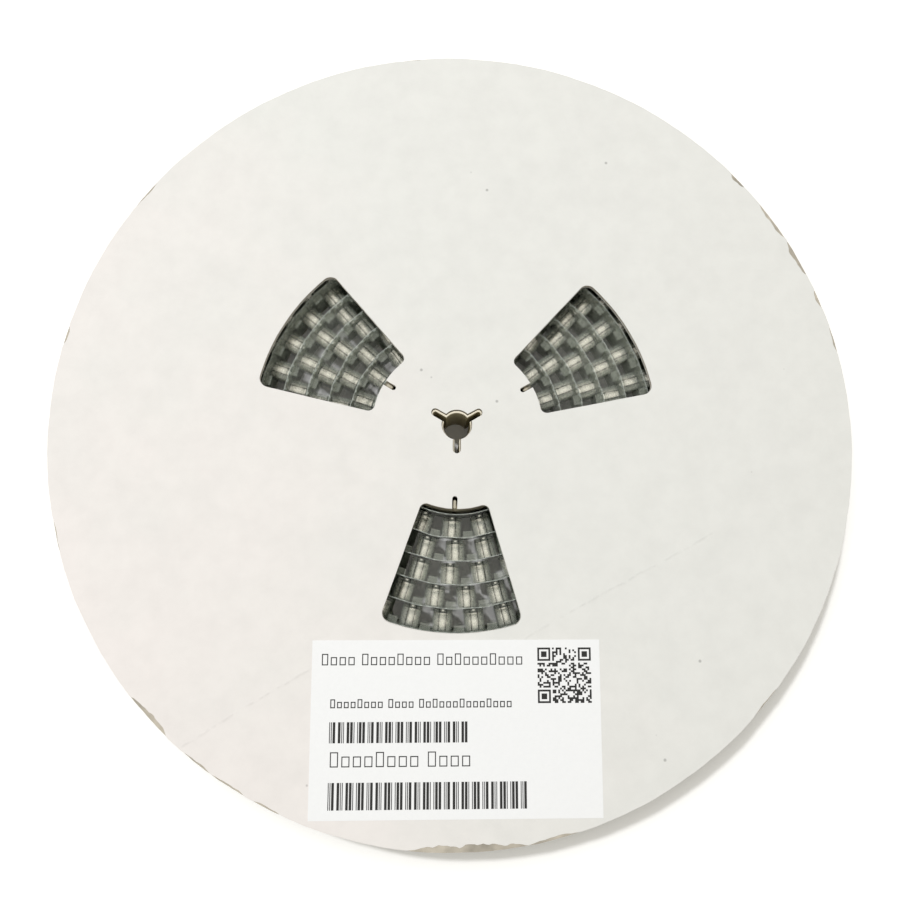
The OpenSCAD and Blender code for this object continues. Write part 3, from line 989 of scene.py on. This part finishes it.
class TAPEREEL_OT_capacitors(bpy.types.Operator):
    """Capacitors in the pockets: cans, bases and soldering tabs"""

    bl_idname = "tape_reel.capacitors"
    bl_label = "Capacitors"

    def execute(self, context):
        tape, part = context.scene.tape_reel_tape, context.scene.tape_reel_capacitor
        winding = Winding(tape.pitch / MM)
        floor = -POCKET_DEPTH + 0.05
        seat = -POCKET_DEPTH + part.base_height / MM
        top = -POCKET_DEPTH + part.height / MM
        sides, r = part.sides, part.can_diameter / MM / 2
        # the can's outline: radius and height, from the rim on the base up
        outline = np.array([
            (r - 0.35, seat - 0.05), (r - 0.05, seat + 0.05), (r, seat + 0.3), (r, seat + 1.0),
            (r - 0.34, seat + 1.3), (r - 0.34, seat + 1.5), (r, seat + 1.85), (r, top - 0.6),
            (r - 0.1, top - 0.25), (r - 0.32, top - 0.06), (r - 0.62, top), (r - 0.72, top - 0.05)])
        turn = np.arange(sides) * 2 * math.pi / sides
        rows = len(outline)
        can = np.stack([np.broadcast_to(outline[:, 1:2], (rows, sides)),
                        outline[:, :1] * np.cos(turn), outline[:, :1] * np.sin(turn)], -1).reshape(-1, 3)
        # the top is split along a chord: the smaller part carries the mark
        first = (rows - 1) * sides
        low, high = round(sides * 0.60), round(sides * 0.90)
        mark = [tuple(first + i for i in range(low, high + 1))]
        rest = [tuple(first + i % sides for i in range(high, low + sides + 1))]
        body = ring_faces(rows, sides) + rest + [tuple(range(sides))[::-1]]
        metal = aluminium_can(part)
        # marking ink, printed: a dull black
        ink = speckled("marking_ink_printed", linear("#202124"), 0.55, 0.3, 0.1)
        shell = Shell()
        winding.fill(shell, can, (body, 0), (mark, 1))
        piece = shell.piece("cans", "capacitor_cans", [metal, ink], crease=50)
        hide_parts("capacitor_cans")

        corner, cut = part.base_width / MM / 2, part.base_width / MM / 2 - part.chamfer / MM
        # the two chamfered corners are on the rear side
        outline = np.array([(-corner, corner - 0.2), (-corner, -cut), (-cut, -corner), (cut, -corner),
                            (corner, -cut), (corner, corner - 0.2), (corner - 0.2, corner),
                            (0.2 - corner, corner)])
        # height, and the outline's share there: the top is sunk inside its rim
        levels = ((floor, 0.97), (floor + 0.12, 1.0), (seat - 0.12, 1.0), (seat, 0.975), (seat, 0.93),
                  (seat - 0.25, 0.9))
        base = np.concatenate([np.column_stack([np.full(8, x), outline * s]) for x, s in levels])
        shell = Shell()
        winding.fill(shell, base, (capped_faces(len(levels), 8), 0))
        # polyphenylene sulphide, moulded: near black, with a low sheen
        plastic = speckled("polyphenylene_sulphide_moulded", part.plastic, 0.42, 0.25, 0.12, IOR=1.6)
        piece = shell.piece("bases", "capacitor_bases", [plastic], crease=30)
        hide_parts("capacitor_bases")

        # a tab's section, under the base and up its side: height and reach
        section = np.array([
            (floor - 0.03, 0.9), (floor - 0.03, corner + 0.15), (floor + 0.75, corner + 0.15),
            (floor + 0.75, corner - 0.02), (floor + 0.12, corner - 0.02), (floor + 0.12, 0.9)])
        shell = Shell()
        for side in (-1, 1):
            tab = np.concatenate([
                np.column_stack([section[:, 0], np.full(6, y), side * section[:, 1]]) for y in (-0.6, 0.6)])
            winding.fill(shell, tab, (capped_faces(2, 6), 0))
        # tinned steel strip, stamped: a pale soft metal
        tin = speckled("tinned_steel_stamped", linear("#DAD9D3"), 0.3, 0.3, 0.08, Metallic=1.0)
        shell.piece("soldering_tabs", "capacitor_cans", [tin], crease=30)
        return {"FINISHED"}


class TAPEREEL_OT_end_strip(bpy.types.Operator):
    """Paper strip that holds the tape's free end down"""

    bl_idname = "tape_reel.end_strip"
    bl_label = "End Strip"

    def execute(self, context):
        # crepe paper tape, creped across its length: fine dull wrinkles
        mat = speckled("crepe_paper_tape", context.scene.tape_reel_label.strip, 0.85, 0.9, 0.1)
        repaint("end_strip", mat)
        return {"FINISHED"}


def boxes(shell, rects, low, high):
    """Adds a closed box for each rectangle (left, bottom, right, top)."""
    rects = np.asarray(rects, dtype=float)
    x0, y0, x1, y1 = rects.T
    corners = [(x0, y0), (x1, y0), (x1, y1), (x0, y1)]
    points = np.stack([np.stack([x, y, np.full(len(rects), z)], -1)
                       for z in (low, high) for x, y in corners], axis=1)
    faces = [(3, 2, 1, 0), (4, 5, 6, 7), (0, 1, 5, 4), (1, 2, 6, 5), (2, 3, 7, 6), (3, 0, 4, 7)]
    shell.tiled(points, faces)


def stripe_field(left, right, bottom, top, unit):
    """Bars and gaps whose widths are one to four units: bar i is
    1 + (3 i^2 + 5 i) mod 4 units wide and the gap after it 1 + (i^2 + 2 i) mod 3."""
    rects, x, i = [], left, 0
    while x < right - 2 * unit:
        wide = (1 + (3 * i * i + 5 * i) % 4) * unit * 0.75
        rects.append((x, bottom, min(x + wide, right), top))
        x += wide + (1 + (i * i + 2 * i) % 3) * unit * 0.8
        i += 1
    return rects


def square_field(left, bottom, size, cells):
    """Chequered field: cell (i, j) is inked where (5 i j + i^2 (j + 3) + 3 j^2 +
    (i xor j)) mod 7 is under 3, with a plain nested square in three of its corners."""
    step = size / cells
    i, j = np.meshgrid(np.arange(cells), np.arange(cells), indexing="ij")
    inked = (i * j * 5 + i * i * (j + 3) + 3 * j * j + (i ^ j)) % 7 < 3
    low_i, low_j = i < 8, j < 8
    high_i, high_j = i >= cells - 8, j >= cells - 8
    inked &= ~((low_i & low_j) | (low_i & high_j) | (high_i & high_j))
    rects = [(left + a * step, bottom + b * step, left + (a + 1) * step, bottom + (b + 1) * step)
             for a, b in np.argwhere(inked)]
    for a, b in ((0, 0), (0, cells - 7), (cells - 7, cells - 7)):
        x, y, w = left + a * step, bottom + b * step, 7 * step
        rects += [(x, y, x + w, y + step), (x, y + w - step, x + w, y + w),
                  (x, y + step, x + step, y + w - step), (x + w - step, y + step, x + w, y + w - step),
                  (x + 2 * step, y + 2 * step, x + 5 * step, y + 5 * step)]
    return rects


def blank_letters(left, bottom, size, words):
    """A line of blank letters: each is a small hollow box, the first of a word
    and every fourth one taller."""
    rects, x, line = [], left, 0.46
    for count in words:
        for letter in range(count):
            top = bottom + size * (1.4 if letter == 0 or (letter * 3 + count) % 4 == 0 else 1.0)
            right = x + size * 0.78
            rects += [(x, bottom, x + line, top), (right - line, bottom, right, top),
                      (x + line, bottom, right - line, bottom + line),
                      (x + line, top - line, right - line, top)]
            x += size * 1.1
        x += size * 0.6
    return rects


class TAPEREEL_OT_label(bpy.types.Operator):
    """Paper label with plain printed fields"""

    bl_idname = "tape_reel.label"
    bl_label = "Label"

    def execute(self, context):
        settings = context.scene.tape_reel_label
        # coated label paper: bright, smooth and nearly matt
        paper = speckled("label_paper_coated", settings.paper, 0.6, 2.0, 0.012)
        repaint("label", paper)
        # in mm from the axis
        rects = stripe_field(-56.6, 6.0, -143.4, -134.4, 0.5)
        rects += stripe_field(-56.6, 31.7, -171.6, -160.1, 0.5)
        rects += square_field(36.6, -126.7, 24.4, 29)
        rects += blank_letters(-60.6, -109.8, 3.6, (4, 8, 10))
        rects += blank_letters(-56.4, -128.4, 2.75, (8, 4, 14))
        rects += blank_letters(-56, -153.6, 4.6, (8, 4))
        shell = Shell()
        boxes(shell, rects, FRONT_FACE + 0.002, FRONT_FACE + 0.022)
        # thermal print: flat black with a slight sheen
        ink = speckled("label_print_thermal", settings.ink, 0.5, 0.5, 0.08)
        shell.piece("label_print", "label", [ink], merge=False, crease=30)
        return {"FINISHED"}


class TAPEREEL_OT_stage(bpy.types.Operator):
    """Pale floor, soft light and the camera"""

    bl_idname = "tape_reel.stage"
    bl_label = "Stage"

    def execute(self, context):
        scene = context.scene
        mesh = bpy.data.meshes.new("floor")
        reach = 4.0
        mesh.from_pydata([(-reach, -reach, -0.0002), (reach, -reach, -0.0002), (reach, reach, -0.0002),
                          (-reach, reach, -0.0002)], [], [(0, 1, 2, 3)])
        floor = bpy.data.objects.new("floor", mesh)
        scene.collection.objects.link(floor)
        mat, tree, shader, place = new_material("studio_floor_matt", Roughness=1.0)
        shader.inputs["Base Color"].default_value = (0.95, 0.945, 0.935, 1)
        shader.inputs["Specular IOR Level"].default_value = 0.0
        shader.inputs["Emission Color"].default_value = (1, 1, 1, 1)
        seen = add(tree, "LightPath", out="Is Camera Ray")
        # the floor glows for the camera only, a painted light that makes it white: hardly at all under the
        # reel, so that the shade seen through the windows stays, rising over the first 13 mm past its rim,
        # and rising again from 0.3 to 1.3 m off
        away = add(tree, "VectorMath", {0: place, 1: (0.007, -0.007, 0)}, "Value", operation="DISTANCE")
        clear = add(tree, "MapRange", {0: away, 1: 0.188, 2: 0.203, 3: 0.02, 4: 0.25})
        far = add(tree, "MapRange", {0: away, 1: 0.3, 2: 1.3, 3: 0.0, 4: 0.8})
        clear = add(tree, "Math", {0: clear, 1: far}, operation="ADD")
        glow = add(tree, "Math", {0: seen, 1: clear}, operation="MULTIPLY")
        tree.links.new(glow, shader.inputs["Emission Strength"])
        mesh.materials.append(mat)

        world = bpy.data.worlds.new("studio_world")
        scene.world = world
        world.use_nodes = True
        tree = world.node_tree
        tree.nodes.clear()
        # the camera, reflections and transmission see it bright; it lights less
        path = tree.nodes.new("ShaderNodeLightPath").outputs
        camera_ray = path["Is Camera Ray"]
        bare = add(tree, "Math", {0: camera_ray, 1: path["Is Glossy Ray"]}, operation="MAXIMUM")
        bare = add(tree, "Math", {0: bare, 1: path["Is Transmission Ray"]}, operation="MAXIMUM")
        level = add(tree, "MapRange", {0: bare, 3: 0.58, 4: 1.0})
        tone = add(tree, "Mix", {0: camera_ray, 6: (1, 0.967, 0.88, 1), 7: (1, 1, 1, 1)}, 2, data_type="RGBA")
        sky = add(tree, "Background", {"Color": tone, "Strength": level})
        add(tree, "OutputWorld", {"Surface": sky})

        lamp = bpy.data.lights.new("key_softbox", "AREA")
        lamp.shape, lamp.size, lamp.energy = "DISK", 0.12, 20.4
        lamp.color = (0.93, 0.935, 0.95)
        key = bpy.data.objects.new("key_softbox", lamp)
        key.visible_glossy = False
        scene.collection.objects.link(key)
        across, up = math.radians(133), math.radians(64)
        direction = Vector((math.cos(up) * math.cos(across), math.cos(up) * math.sin(across), math.sin(up)))
        key.location = direction * 2
        key.rotation_euler = direction.to_track_quat("Z", "Y").to_euler()

        camera_data = bpy.data.cameras.new("camera")
        camera_data.sensor_width, camera_data.lens = 36.0, 29.46
        camera_data.clip_start = 0.01
        camera = bpy.data.objects.new("camera", camera_data)
        camera.location = (-0.010216, -0.066762, 0.381)
        camera.rotation_euler = Euler((0.142425, -0.034036, 0.000173), "XYZ")
        scene.collection.objects.link(camera)
        scene.camera = camera
        scene.view_settings.view_transform = "Standard"
        return {"FINISHED"}


class TAPEREEL_PT_sidebar(bpy.types.Panel):
    """Lists the reel's pieces"""

    bl_idname = "TAPEREEL_PT_sidebar"
    bl_label = "Tape Reel"
    bl_space_type = "VIEW_3D"
    bl_region_type = "UI"
    bl_category = "Tape Reel"

    def draw(self, context):
        for operator in OPERATORS:
            self.layout.operator(operator.bl_idname)


OPERATORS = (
    TAPEREEL_OT_boards,
    TAPEREEL_OT_core,
    TAPEREEL_OT_carrier,
    TAPEREEL_OT_cover,
    TAPEREEL_OT_capacitors,
    TAPEREEL_OT_end_strip,
    TAPEREEL_OT_label,
    TAPEREEL_OT_stage,
)
GROUPS = {
    "tape_reel_board": BoardSettings,
    "tape_reel_tape": TapeSettings,
    "tape_reel_capacitor": CapacitorSettings,
    "tape_reel_label": LabelSettings,
}


def register():
    for name, group in GROUPS.items():
        bpy.utils.register_class(group)
        setattr(bpy.types.Scene, name, PointerProperty(type=group))
    for operator in OPERATORS:
        bpy.utils.register_class(operator)
    bpy.utils.register_class(TAPEREEL_PT_sidebar)


def unregister():
    bpy.utils.unregister_class(TAPEREEL_PT_sidebar)
    for operator in reversed(OPERATORS):
        bpy.utils.unregister_class(operator)
    for name, group in GROUPS.items():
        delattr(bpy.types.Scene, name)
        bpy.utils.unregister_class(group)


def main():
    register()
    bpy.ops.tape_reel.boards()
    bpy.ops.tape_reel.core()
    bpy.ops.tape_reel.carrier()
    bpy.ops.tape_reel.cover()
    bpy.ops.tape_reel.capacitors()
    bpy.ops.tape_reel.end_strip()
    bpy.ops.tape_reel.label()
    bpy.ops.tape_reel.stage()


if __name__ == "__main__":
    main()
